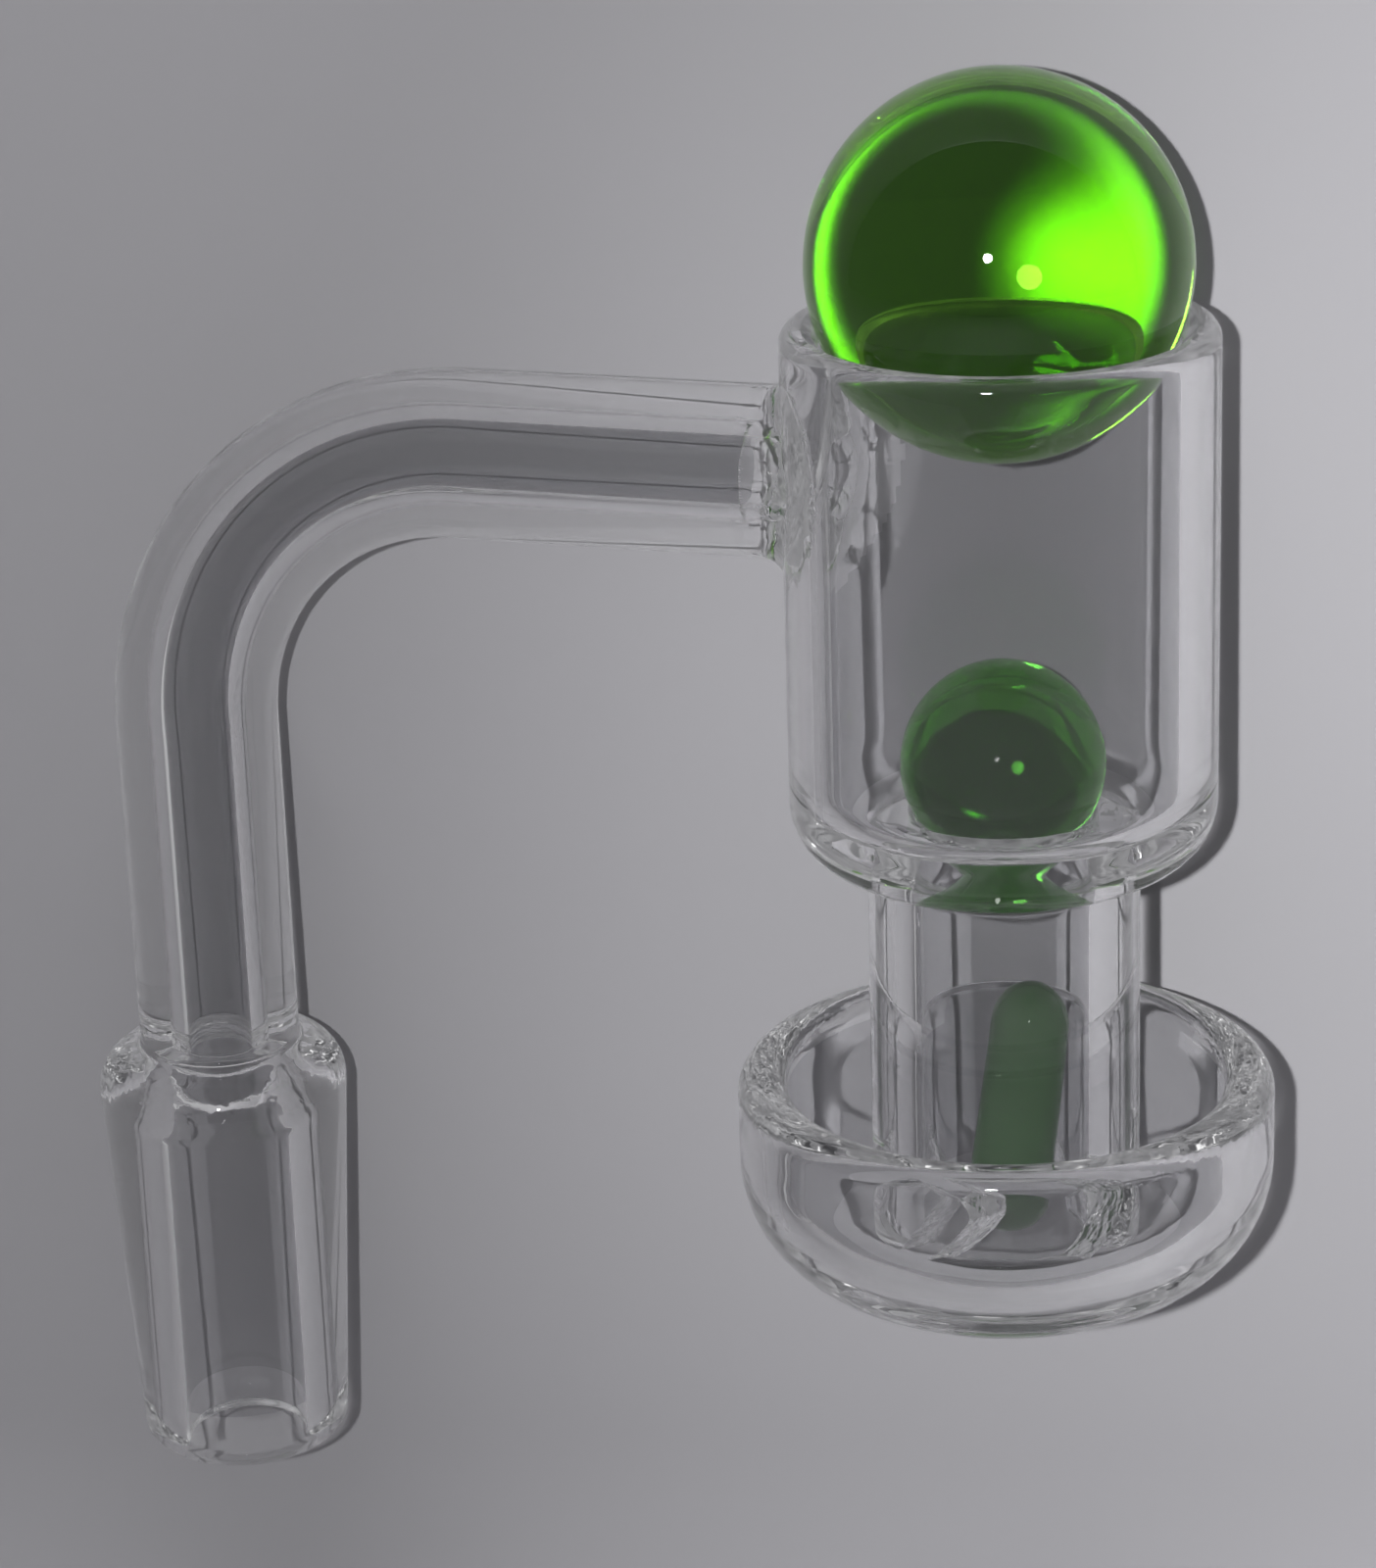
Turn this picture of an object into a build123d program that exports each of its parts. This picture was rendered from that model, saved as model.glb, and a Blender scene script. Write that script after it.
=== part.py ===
from build123d import *

import os
from math import asin, degrees, radians, sqrt, tan

# A quartz "slurper" banger with three loose green glass pieces.
#
# Air is drawn down into a shallow dish, through slots at the foot of a thick neck tube, past a
# pill and a small marble, up into a wide chamber and out through a side arm that turns down
# into a male ground joint. A large marble caps the chamber.
#
# The clear vessel is five lampworked sections that are flame-welded end to end. Each section is
# its own solid and meets the next face to face. The marbles and the pill lie loose.
#
# Frame: +Z up. The origin lies on the axis of the ground joint, in the plane where its taper has
# the gauge diameter. +X points from the joint's axis to the axis of the chamber. Millimetres.

# Ground joint, male, standard taper
gauge_d = 14.5              # diameter in the gauge plane, z = 0
taper_per_mm = 0.1          # growth of the diameter for each millimetre of length
taper_above = 9.0           # taper that stands above the gauge plane
taper_below = 15.0          # taper that enters the socket
shoulder_rise = 3.8         # from the top of the taper to the shoulder's upper corner
shoulder_slope = 1.2        # fall of the shoulder between arm and taper
shoulder_round = 2.8
shoulder_root_round = 0.5   # inner corner between the shoulder and the stub
stub_rise = 1.0             # short cylinder that is welded to the arm
joint_bore_d = 7.6
throat_d = 6.0              # step between the arm's bore and the joint's own bore
throat_length = 1.4
throat_drop = 2.4           # from the joint's top face to the throat
throat_flare = 1.4          # height of the cone at each side of the throat
throat_round = 0.4          # edges of the throat
throat_round_below = 0.8    # where the lower cone meets the wide bore
lip_round = 1.5             # fire-polished outer edge of the mouth
lip_round_inside = 0.8

# Side arm: a bent tube
arm_d = 10.0
arm_bore_d = 4.0
arm_reach = 51.0            # from the joint's axis to the chamber's axis
arm_bend_radius = 18.0
arm_below_rim = 9.5         # from the chamber's rim down to the arm's axis
weld_collar = 0.9           # height of the flare of glass round the arm where it meets the chamber
weld_collar_length = 2.2    # from the chamber's wall along the arm

# Dish
dish_d = 32.0
dish_height = 13.0
dish_wall = 3.0
dish_floor = 3.0
dish_corner = 7.5           # outer radius of the rounded lower edge
dish_corner_inside = 4.5
dish_base_z = 3.0           # underside of the dish above the gauge plane

# Neck tube
neck_d = 16.0
neck_bore_d = 10.0
neck_clear = 13.5           # bare length between the dish's rim and the chamber
neck_collar = 0.6           # small weld fillet under the chamber
slot_count = 4
slot_width = 2.0
slot_length = 6.0           # along the slot, from the tube's foot to the round head
slot_lean = 35.0            # the slots lean, so that the air turns as it is drawn in
slot_turn = 60.0            # direction of the first slot, turned from +X about +Z

# Chamber
chamber_d = 25.0
chamber_height = 32.0
chamber_wall = 2.3
chamber_floor = 3.0
chamber_corner = 3.8
chamber_corner_inside = 2.4
seat_round = 0.8            # softened edge of the hole that the small marble closes
port_round = 0.8            # melted edge of the arm's port inside the chamber
rim_bevel = 1.0             # 45 degree bevel inside the rim, where the cap marble seats
rim_bevel_round = 0.3       # fire-polished edges of the bevel
rim_round = 0.9             # fire-polished outer edge of the rim

# The dish's rim is fire-polished: round, with a narrow flat land left on top
rim_land = 0.3

# Loose pieces
cap_marble_d = 22.0
valve_marble_d = 12.0
pill_d = 5.0
pill_length = 15.0
pill_foot_offset = 0.3      # centre of the pill's lower end from the neck's axis
pill_lean_azimuth = 60.0    # direction of the pill's lean, turned from +X about +Z
rest_gap = 0.15             # air that is left between a loose piece and its seat

# Heights that follow from the sizes above
joint_top_z = taper_above + shoulder_rise + stub_rise
dish_floor_z = dish_base_z + dish_floor
dish_rim_z = dish_base_z + dish_height
chamber_base_z = dish_rim_z + neck_clear
chamber_floor_z = chamber_base_z + chamber_floor
chamber_rim_z = chamber_base_z + chamber_height
arm_z = chamber_rim_z - arm_below_rim
dish_rim_round = (dish_wall - rim_land) / 2


def turned(corners, rounds):
    """Turn a closed outline of (radius, height) corners about Z, each corner rounded by its own radius."""
    outline = FilletPolyline(*corners, radius=rounds, close=True)
    return revolve(Plane.XZ * make_face(outline), Axis.Z)


def taper_radius(z):
    """Radius of the joint's taper at a height above the gauge plane."""
    return (gauge_d + taper_per_mm * z) / 2


def ball_height(ball_radius, hole_radius, edge_round, edge_depth):
    """Height of a ball's centre over a face with a hole, whose rounded edge is centred below it."""
    reach = ball_radius + rest_gap + edge_round
    return sqrt(reach**2 - (hole_radius + edge_round) ** 2) - edge_depth


def ground_joint():
    """Male joint: shoulder, long taper and a wide bore that narrows to the arm's bore."""
    shoulder_z = taper_above + shoulder_rise
    throat_top = joint_top_z - throat_drop
    throat_base = throat_top - throat_length
    outline = [
        (arm_bore_d / 2, joint_top_z),
        (arm_d / 2, joint_top_z),
        (arm_d / 2, shoulder_z),
        (taper_radius(shoulder_z), shoulder_z - shoulder_slope),
        (taper_radius(-taper_below), -taper_below),
        (joint_bore_d / 2, -taper_below),
        (joint_bore_d / 2, throat_base - throat_flare),
        (throat_d / 2, throat_base),
        (throat_d / 2, throat_top),
        (arm_bore_d / 2, throat_top + throat_flare),
    ]
    rounds = [
        0,
        0,
        shoulder_root_round,
        shoulder_round,
        lip_round,
        lip_round_inside,
        throat_round_below,
        throat_round,
        throat_round,
        throat_round,
    ]
    return turned(outline, rounds)


def arm_elbow():
    """Side arm: out of the chamber's wall, round the bend and down to the joint."""
    weld_x = arm_reach - chamber_d / 2
    start = (arm_reach, 0, arm_z)
    bend_start = (arm_bend_radius, 0, arm_z)
    bend_end = (0, 0, arm_z - arm_bend_radius)
    route = Wire(
        [
            Edge.make_line(start, bend_start),
            Edge.make_tangent_arc(bend_start, (-1, 0, 0), bend_end),
            Edge.make_line(bend_end, (0, 0, joint_top_z)),
        ]
    )
    section = Plane(origin=start, x_dir=(0, 1, 0), z_dir=(-1, 0, 0))
    tube = sweep(section * Circle(arm_d / 2), path=route)
    bore = sweep(section * Circle(arm_bore_d / 2), path=route)

    # The weld: a hollow-sided flare that starts inside the chamber's outline and dies out on the arm.
    flare_r = arm_d / 2 + weld_collar
    flare_start = weld_x + arm_d / 2
    flare_end = weld_x - weld_collar_length
    foot = (flare_end, arm_d / 2)
    head = (weld_x, flare_r)
    hollow = TangentArc(foot, head, tangent=(1, 0))
    body = Polyline(head, (flare_start, flare_r), (flare_start, 0), (flare_end, 0), foot)
    collar = Pos(0, 0, arm_z) * revolve(Plane.XZ * make_face([hollow, body]), Axis.X)

    chamber_outside = Pos(arm_reach, 0, chamber_base_z) * Cylinder(
        chamber_d / 2, chamber_height, align=(Align.CENTER, Align.CENTER, Align.MIN)
    )
    return tube + collar - chamber_outside - bore


def chamber():
    """Cup with a bevelled rim, a hole in its floor and a port where the arm is welded on."""
    bore_r = neck_bore_d / 2
    outer_r = chamber_d / 2
    inner_r = outer_r - chamber_wall
    outline = [
        (bore_r, 0),
        (outer_r, 0),
        (outer_r, chamber_height),
        (inner_r + rim_bevel, chamber_height),
        (inner_r, chamber_height - rim_bevel),
        (inner_r, chamber_floor),
        (bore_r, chamber_floor),
    ]
    rounds = [
        0,
        chamber_corner,
        rim_round,
        rim_bevel_round,
        rim_bevel_round,
        chamber_corner_inside,
        seat_round,
    ]
    cup = Pos(arm_reach, 0, chamber_base_z) * turned(outline, rounds)
    port = Pos(arm_reach, 0, arm_z) * Rot(0, -90, 0) * Cylinder(
        arm_bore_d / 2, chamber_d, align=(Align.CENTER, Align.CENTER, Align.MIN)
    )
    cup -= port
    port_edge = cup.edges().filter_by_position(
        Axis.X, arm_reach - inner_r - port_round, arm_reach - inner_r + port_round
    ).filter_by_position(Axis.Z, arm_z - arm_bore_d, arm_z + arm_bore_d)
    return fillet(port_edge, port_round)


def neck_tube():
    """Thick tube from the dish's floor to the chamber, with leaning round-headed slots at its foot."""
    length = chamber_base_z - dish_floor_z
    outer_r = neck_d / 2
    inner_r = neck_bore_d / 2
    outline = [
        (inner_r, 0),
        (outer_r, 0),
        (outer_r, length - neck_collar),
        (outer_r + neck_collar, length),
        (inner_r, length),
    ]
    tube = turned(outline, [0, 0, neck_collar, 0, 0])
    slot = extrude(Plane.YZ * SlotCenterToCenter(2 * slot_length - slot_width, slot_width, 90), neck_d)
    for step in range(slot_count):
        tube -= Rot(0, 0, slot_turn + 360 / slot_count * step) * Rot(-slot_lean, 0, 0) * slot
    return Pos(arm_reach, 0, dish_floor_z) * tube


def dish():
    """Shallow thick dish with a round rim, a rounded lower edge and a flat base."""
    outer_r = dish_d / 2
    inner_r = outer_r - dish_wall
    outline = [
        (0, 0),
        (outer_r, 0),
        (outer_r, dish_height),
        (inner_r, dish_height),
        (inner_r, dish_floor),
        (0, dish_floor),
    ]
    rounds = [0, dish_corner, dish_rim_round, dish_rim_round, dish_corner_inside, 0]
    return Pos(arm_reach, 0, dish_base_z) * turned(outline, rounds)


def cap_marble():
    """Large marble that rests on the lower edge of the bevel inside the chamber's rim."""
    radius = cap_marble_d / 2
    edge_depth = rim_bevel + rim_bevel_round * tan(radians(22.5))
    lift = ball_height(radius, chamber_d / 2 - chamber_wall, rim_bevel_round, edge_depth)
    return Pos(arm_reach, 0, chamber_rim_z + lift) * Sphere(radius)


def valve_marble():
    """Small marble that closes the hole in the chamber's floor."""
    radius = valve_marble_d / 2
    lift = ball_height(radius, neck_bore_d / 2, seat_round, seat_round)
    return Pos(arm_reach, 0, chamber_floor_z + lift) * Sphere(radius)


def pill():
    """Round-ended pill that stands on the dish's floor and leans on the wall of the neck."""
    radius = pill_d / 2
    straight = pill_length - pill_d
    head_offset = neck_bore_d / 2 - radius - rest_gap
    lean = degrees(asin((head_offset - pill_foot_offset) / straight))
    body = Cylinder(radius, straight, align=(Align.CENTER, Align.CENTER, Align.MIN))
    body += Sphere(radius) + Pos(0, 0, straight) * Sphere(radius)
    leaning = Pos(pill_foot_offset, 0, radius + rest_gap) * Rot(0, lean, 0) * body
    return Pos(arm_reach, 0, dish_floor_z) * Rot(0, 0, pill_lean_azimuth) * leaning


pieces = {
    "ground_joint": ground_joint(),
    "arm_elbow": arm_elbow(),
    "chamber": chamber(),
    "neck_tube": neck_tube(),
    "dish": dish(),
    "cap_marble": cap_marble(),
    "valve_marble": valve_marble(),
    "pill": pill(),
}

os.makedirs("parts", exist_ok=True)
for name, piece in pieces.items():
    export_step(piece, f"parts/{name}.step")
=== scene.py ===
# %% [markdown]
# # A quartz banger with a slotted neck
#
# The object is a lampworked vessel of clear fused quartz. A wide chamber stands on a thick neck
# tube, the neck stands in a round dish, and a bent side arm leads from the chamber to a tapered
# joint. Two green glass marbles and a green glass pill lie loose in it.
#
# Clear glass has no colour of its own to paint. The eye knows it by three things: what it bends,
# what its edges mirror, and the light and dark lines that it throws on the paper behind. So this
# lesson spends its steps on smooth closed walls, on true refraction, and on how the lamp's light
# passes each wall.

# %% Load the frame
import math

import bmesh
import bpy
from mathutils import Matrix, Vector


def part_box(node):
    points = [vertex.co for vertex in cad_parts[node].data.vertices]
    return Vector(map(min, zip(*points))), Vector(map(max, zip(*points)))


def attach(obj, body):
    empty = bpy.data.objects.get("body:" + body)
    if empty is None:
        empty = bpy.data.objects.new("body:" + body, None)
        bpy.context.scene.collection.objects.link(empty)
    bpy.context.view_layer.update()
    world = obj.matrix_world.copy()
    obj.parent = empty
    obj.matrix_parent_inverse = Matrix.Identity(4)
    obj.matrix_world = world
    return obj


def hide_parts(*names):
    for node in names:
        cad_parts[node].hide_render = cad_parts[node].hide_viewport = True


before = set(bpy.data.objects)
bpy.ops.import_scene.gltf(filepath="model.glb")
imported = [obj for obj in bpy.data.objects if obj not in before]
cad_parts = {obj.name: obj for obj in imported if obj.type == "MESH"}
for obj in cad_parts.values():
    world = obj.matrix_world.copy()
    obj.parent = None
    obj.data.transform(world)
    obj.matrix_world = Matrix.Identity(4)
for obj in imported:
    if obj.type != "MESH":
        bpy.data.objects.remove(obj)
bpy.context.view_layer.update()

# %% [markdown]
# The frame gives the lowest and highest corner of each node. Axes, radii and heights are read
# from those corners, so each glass piece lands on its own solid. Sizes are kept in millimetres,
# as a glassblower writes them, and are multiplied by MM where Blender wants metres.

# %% Sizes that the frame gives
MM = 0.001


def low(node):
    """Lowest corner of a node, in millimetres."""
    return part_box(node)[0] / MM


def high(node):
    """Highest corner of a node, in millimetres."""
    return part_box(node)[1] / MM


joint_axis = (low("ground_joint") + high("ground_joint")) / 2
chamber_axis = (low("chamber") + high("chamber")) / 2
chamber_r = (high("chamber").x - low("chamber").x) / 2
dish_r = (high("dish").x - low("dish").x) / 2
arm_r = -low("arm_elbow").x
arm_z = high("arm_elbow").z - high("arm_elbow").y  # the arm reaches as far up as sideways
print("Chamber axis at", round(chamber_axis.x, 2), "and arm axis at height", round(arm_z, 2), "mm")

# %% [markdown]
# Every material and every Geometry Nodes tree in this lesson is built from nodes. One small
# function adds a node, sets its properties and fills its sockets, so that a tree reads as a list
# of steps. A value goes straight into a socket, and a node or a socket is linked to it.
#
# A colour is written as a hex value, as a paint program shows it. Shaders add up light, so a
# second function turns the hex value into linear numbers.

# %% Helpers for nodes and colours
def add(tree, kind, inputs=None, stops=(), **settings):
    """Add a node, set its properties and ramp stops, and fill its sockets."""
    node = tree.nodes.new(kind)
    for setting, value in settings.items():
        setattr(node, setting, value)
    for name, value in (inputs or {}).items():
        if isinstance(value, bpy.types.Node):
            value = value.outputs[0]
        if isinstance(value, bpy.types.NodeSocket):
            tree.links.new(value, node.inputs[name])
        else:
            node.inputs[name].default_value = value
    for i, (position, colour) in enumerate(stops):
        elements = node.color_ramp.elements
        stop = elements[i] if i < len(elements) else elements.new(position)
        stop.position = position
        stop.color = colour
    return node


def linear(hex_colour):
    """Linear red, green, blue and alpha of an sRGB hex colour."""
    channels = [int(hex_colour[i : i + 2], 16) / 255 for i in (0, 2, 4)]
    return [c / 12.92 if c <= 0.04045 else ((c + 0.055) / 1.055) ** 2.4 for c in channels] + [1.0]


print("Mid grey 808080 is", round(linear("808080")[0], 3), "in linear light")

# %% [markdown]
# ## The glass
#
# Real glass bends lamp light into bright lines, and the paper behind a thick wall is dark where
# the light was bent away. A path tracer finds those lines slowly and with much noise. So the
# glass here does two jobs that are kept apart.
#
# For the eye it is true glass that bends and mirrors. For lamp light on its way to the paper it
# is a straight window. How much the window passes depends on how steeply the light meets the
# wall: nearly all of it head on, a little more than all just inside a rounded edge, where a real
# wall gathers light, and nearly none at the edge itself. That draws the light and dark lines
# along every edge at no cost. It is a stand-in for what glass does: the shares were chosen, and
# aren't worked out from the walls.
#
# A pass share may be above one, and a ramp stops at one, so shares are stored a quarter as large
# and multiplied again afterwards.

# %% Lamp light through a wall
PASS_GAIN = 4.0


def share(red, green=None, blue=None):
    """Share of the lamp's red, green and blue light that one wall face passes, as a ramp colour."""
    values = (red, red if green is None else green, red if blue is None else blue)
    return [v / PASS_GAIN for v in values] + [1.0]


def window(tree, passed):
    """Straight window for lamp light, by the angle at which light meets the wall."""
    steepness = add(tree, "ShaderNodeLayerWeight", {"Blend": 0.5}).outputs["Facing"]
    passing = add(tree, "ShaderNodeValToRGB", {"Fac": steepness}, stops=passed)
    tint = add(tree, "ShaderNodeVectorMath", {0: passing, "Scale": PASS_GAIN}, operation="SCALE")
    return add(tree, "ShaderNodeBsdfTransparent", {"Color": tint})


print("A share of 1.1 is stored as", share(1.1)[0])

# %% [markdown]
# Sight that is caught in a rounded rim is mirrored from wall to wall many times. A renderer gives
# up after some bounces and returns black, and the rim turns into a black line that no real glass
# has. Here a ray that has been mirrored too often ends in a soft glow. This too is a stand-in:
# what such a ray would meet isn't known, and the greys of the glow were chosen. Noise
# between 0.6 and 3 mm wide breaks them up, so that the glow doesn't look like paint.

# %% Sight that is caught in a rim
DEEPEST = 9.5  # bounces of any kind after which a ray counts as caught
MOST_MIRRORED = 3.5  # mirror bounces after which it does


def caught_glow(tree, position, facet, ends):
    """Glow for caught rays, broken up at a facet size in millimetres, and when it applies."""
    noise = {"Vector": position, "Scale": 1 / (facet * MM), "Detail": 2.0, "Roughness": 0.6}
    facets = add(tree, "ShaderNodeTexNoise", noise)
    colour = add(tree, "ShaderNodeValToRGB", {"Fac": facets}, stops=ends)
    path = add(tree, "ShaderNodeLightPath").outputs
    deep = add(tree, "ShaderNodeMath", {0: path["Ray Depth"], 1: DEEPEST}, operation="GREATER_THAN")
    mirrored = {0: path["Glossy Depth"], 1: MOST_MIRRORED}
    mirrored = add(tree, "ShaderNodeMath", mirrored, operation="GREATER_THAN")
    caught = add(tree, "ShaderNodeMath", {0: deep, 1: mirrored}, operation="MAXIMUM")
    return add(tree, "ShaderNodeEmission", {"Color": colour}), caught


print("Caught after", MOST_MIRRORED, "mirror bounces or", DEEPEST, "in all")

# %% [markdown]
# The glass itself is a Principled shader with full transmission. Its index of refraction and its
# roughness stand in its own sockets. A wave, where there is one, is a low bump for the ripples
# that a flame or a saw leaves, given as its length and its depth in millimetres.

# %% Glass
def glass(name, colour, ior, passed, ends, facet, roughness=0.0, transmission=1.0, wave=None):
    """A glass material that bends sight and lets lamp light straight through."""
    material = bpy.data.materials.new(name)
    material.use_nodes = True
    tree = material.node_tree
    tree.nodes.clear()
    position = add(tree, "ShaderNodeTexCoord").outputs["Object"]
    body = {"Base Color": linear(colour), "IOR": ior, "Roughness": roughness}
    body["Transmission Weight"] = transmission
    if wave is not None:
        noise = {"Vector": position, "Scale": 1 / (wave[0] * MM), "Detail": 2.0}
        ripples = {"Height": add(tree, "ShaderNodeTexNoise", noise), "Distance": wave[1] * MM}
        body["Normal"] = add(tree, "ShaderNodeBump", ripples)
    surface = add(tree, "ShaderNodeBsdfPrincipled", body)
    glow, caught = caught_glow(tree, position, facet, ends)
    surface = add(tree, "ShaderNodeMixShader", {0: caught, 1: surface, 2: glow})
    straight = window(tree, passed)
    path = add(tree, "ShaderNodeLightPath")
    for ray in ("Is Diffuse Ray", "Is Shadow Ray"):
        surface = add(tree, "ShaderNodeMixShader", {0: path.outputs[ray], 1: surface, 2: straight})
    add(tree, "ShaderNodeOutputMaterial", {"Surface": surface})
    print("Made", name, "with index", ior)
    return material


# %% [markdown]
# ### Clear quartz
#
# Fused quartz bends light a little less than window glass: its index is 1.458. It starts as drawn
# tube and is welded and shaped in a hydrogen flame, which melts every skin to a full polish. So
# its roughness is zero, and the finishes differ only in how even the skin is.
#
# The outer walls are even. Their edges keep most of the lamp's light off the paper.

# %% Fire-polished quartz
QUARTZ = 1.458
wall_pass = [
    (0.0, share(0.97)),
    (0.4, share(1.0)),
    (0.5, share(1.12)),
    (0.58, share(0.5)),
    (0.66, share(0.18)),
]
even_ends = [(0.3, linear("646466")), (0.5, linear("868688")), (0.7, linear("A8A8AA"))]
# a full flame polish: no haze at all, only what it bends and mirrors, and a painted grey glow where rays get
# caught
polished = glass("fire_polished_quartz", "FFFFFF", QUARTZ, wall_pass, even_ends, facet=3.0)

# %% [markdown]
# A bore reads as a darker band along a clear tube. The bent sight alone doesn't make it dark
# enough in this light, so the skins inside carry painted shade: a grey tint, stronger in the arm.
# What is seen through the bore passes two of them, and what is seen through the wall alone passes
# none. Real quartz has no such tint.

# %% Drawn bores with painted shade
bore_pass = [(0.0, share(0.75)), (0.8, share(0.75)), (0.95, share(0.5))]
narrow_pass = [(0.0, share(0.92)), (0.8, share(0.92)), (0.95, share(0.7))]
# drawn skins: as smooth as the outside, with a grey tint of painted shade for the bore
bore = glass("drawn_quartz_bore", "CECED0", QUARTZ, bore_pass, even_ends, facet=3.0)
narrow_bore = glass("drawn_quartz_capillary", "B0B0B2", QUARTZ, narrow_pass, even_ends, facet=3.0)

# %% [markdown]
# The dish and the joint's mouth are taken as opened by hand in the flame, which leaves long
# shallow ripples. Their thick rims sparkle, so the glow of caught rays gets painted white sparks.
#
# Where two tubes were melted together, at the arm's weld and round the joint's shoulder, the skin
# is puckered, about a millimetre and a half from crest to crest. The two sides of the dish's rim
# get this finish too, for its glitter alone, which comes from its puckers and its painted sparks.
#
# The slots are taken as sawn and only licked by the flame afterwards, which leaves ripples a
# little over a millimetre from crest to crest. Their depth is a guess, made for the glitter.

# %% Hand-worked and sawn quartz
# glow of caught rays, broken up into painted white sparks
painted_sparks = [
    (0.38, linear("3C3C3E")),
    (0.5, linear("767678")),
    (0.6, linear("8E8E90")),
    (0.66, linear("FFFFFF")),
]
# shaped by hand: long soft ripples, and painted sparks in the rim's glow
handmade = glass("lampworked_quartz", "FFFFFF", QUARTZ, wall_pass, painted_sparks, facet=1.6, wave=(4.0, 0.02))
# melted together: puckers that break up what is seen through them and catch the lamp,
# and painted sparks in the glow of caught rays
welded = glass("flame_welded_quartz", "FFFFFF", QUARTZ, wall_pass, painted_sparks, facet=0.8, wave=(1.5, 0.1))
# sawn and licked by the flame: short ripples that glitter, and painted sparks in their glow
sawn = glass("sawn_quartz", "F2F2F2", QUARTZ, wall_pass, painted_sparks, 0.6, roughness=0.06, wave=(1.3, 0.5))

# %% [markdown]
# ### Green glass
#
# The marbles are taken as soda-lime glass, index 1.52, coloured right through. A ball is a
# strong lens: it gathers the lamp's light into one small spot on the paper, dark all round, and
# then shows that spot to the eye hugely enlarged, as a lime patch and a lime crescent. So its
# window passes three times the light at its very middle and next to none elsewhere.
#
# The small marble looks a deeper green in the shade of the chamber. This light doesn't give that
# by itself, so it gets a deeper green, chosen as painted shade.

# %% Green soda glass
SODA = 1.52
lens_pass = [
    (0.0, share(2.1, 3.0, 0.6)),
    (0.0026, share(2.0, 2.8, 0.5)),
    (0.0045, share(0.12, 0.22, 0.05)),
    (0.5, share(0.12, 0.22, 0.05)),
    (0.9, share(0.02, 0.04, 0.01)),
]
green_ends = [(0.35, linear("16300C")), (0.65, linear("3C7A22"))]
# coloured through and flame-rounded: bright green where it faces light, nearly black elsewhere
green = glass("green_soda_glass", "84D236", SODA, lens_pass, green_ends, facet=1.6)
# a darker copy of the marbles' green: painted shade for the small marble in the chamber
painted_shade_green = glass("deep_green_soda_glass", "4C9C30", SODA, lens_pass, green_ends, facet=1.6)

# %% [markdown]
# The pill is a cut length of green rod with rounded ends. Its glass is a little cloudy, so half
# of what the eye gets from it is bent light and half is the colour of the glass itself.

# %% Clouded green glass
cloud_pass = [(0.0, share(0.3, 0.4, 0.3)), (0.6, share(0.2, 0.3, 0.2)), (0.85, share(0.05))]
# fine bubbles in the melt: a milky green body under a clear gloss
clouded = glass("clouded_green_glass", "52764E", SODA, cloud_pass, green_ends, facet=1.6, transmission=0.5)

# %% [markdown]
# Where two quartz pieces are welded, the flame has made them one body and nothing is left to see.
# The pieces stay separate here, so each has a face on the weld. Those faces get a material that
# light passes as if it weren't there.

# %% Fused welds
fused = bpy.data.materials.new("fused_weld")
fused.use_nodes = True
fused.node_tree.nodes.clear()
nothing = add(fused.node_tree, "ShaderNodeBsdfTransparent")
add(fused.node_tree, "ShaderNodeOutputMaterial", {"Surface": nothing})
print("Made", fused.name)

# %% [markdown]
# ## Turning glass
#
# Nearly every piece here is made in a lathe: the tube turns in the flame and a tool shapes it. A
# Screw modifier or a Spin would do the same in Blender. A Geometry Nodes tree is used instead,
# because the rounding of each corner can then be given as a number beside the corner. Tangent
# arcs come out exact, the arcs are fine and the straight runs are cut up evenly.
#
# Two short functions open and close every tree in this lesson, and each tree has named inputs
# for its sizes.

# %% Opening and closing a Geometry Nodes tree
def new_tree(name, sockets):
    """A Geometry Nodes tree with named inputs and one geometry output."""
    tree = bpy.data.node_groups.new(name, "GeometryNodeTree")
    tree.interface.new_socket("Geometry", in_out="INPUT", socket_type="NodeSocketGeometry")
    for label, kind, default in sockets:
        socket = tree.interface.new_socket(label, in_out="INPUT", socket_type=kind)
        if default is not None:
            socket.default_value = default
    tree.interface.new_socket("Geometry", in_out="OUTPUT", socket_type="NodeSocketGeometry")
    return tree, tree.nodes.new("NodeGroupInput").outputs


def close_tree(tree, geometry, material):
    """End a tree with Realize Instances and Set Material."""
    solid = add(tree, "GeometryNodeRealizeInstances", {"Geometry": geometry})
    finish = add(tree, "GeometryNodeSetMaterial", {"Geometry": solid, "Material": material})
    add(tree, "NodeGroupOutput", {"Geometry": finish})
    print("Built the tree", tree.name, "with", len(tree.nodes), "nodes")
    return tree


# %% [markdown]
# The section arrives as a mesh of corners and edges, drawn flat, with a "rounding" at each
# corner. Fillet Curve rounds the corners, Subdivide Curve cuts the straight runs, and the section
# is swept round a small circle. A closed section gives a ring-shaped piece such as a tube. An open
# one that starts and ends on the axis gives a full one such as a ball, and Merge by Distance
# closes its poles.

# %% The lathe's section
FORMER = 1.0  # radius of the circle that the section is swept round, in millimetres


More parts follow.
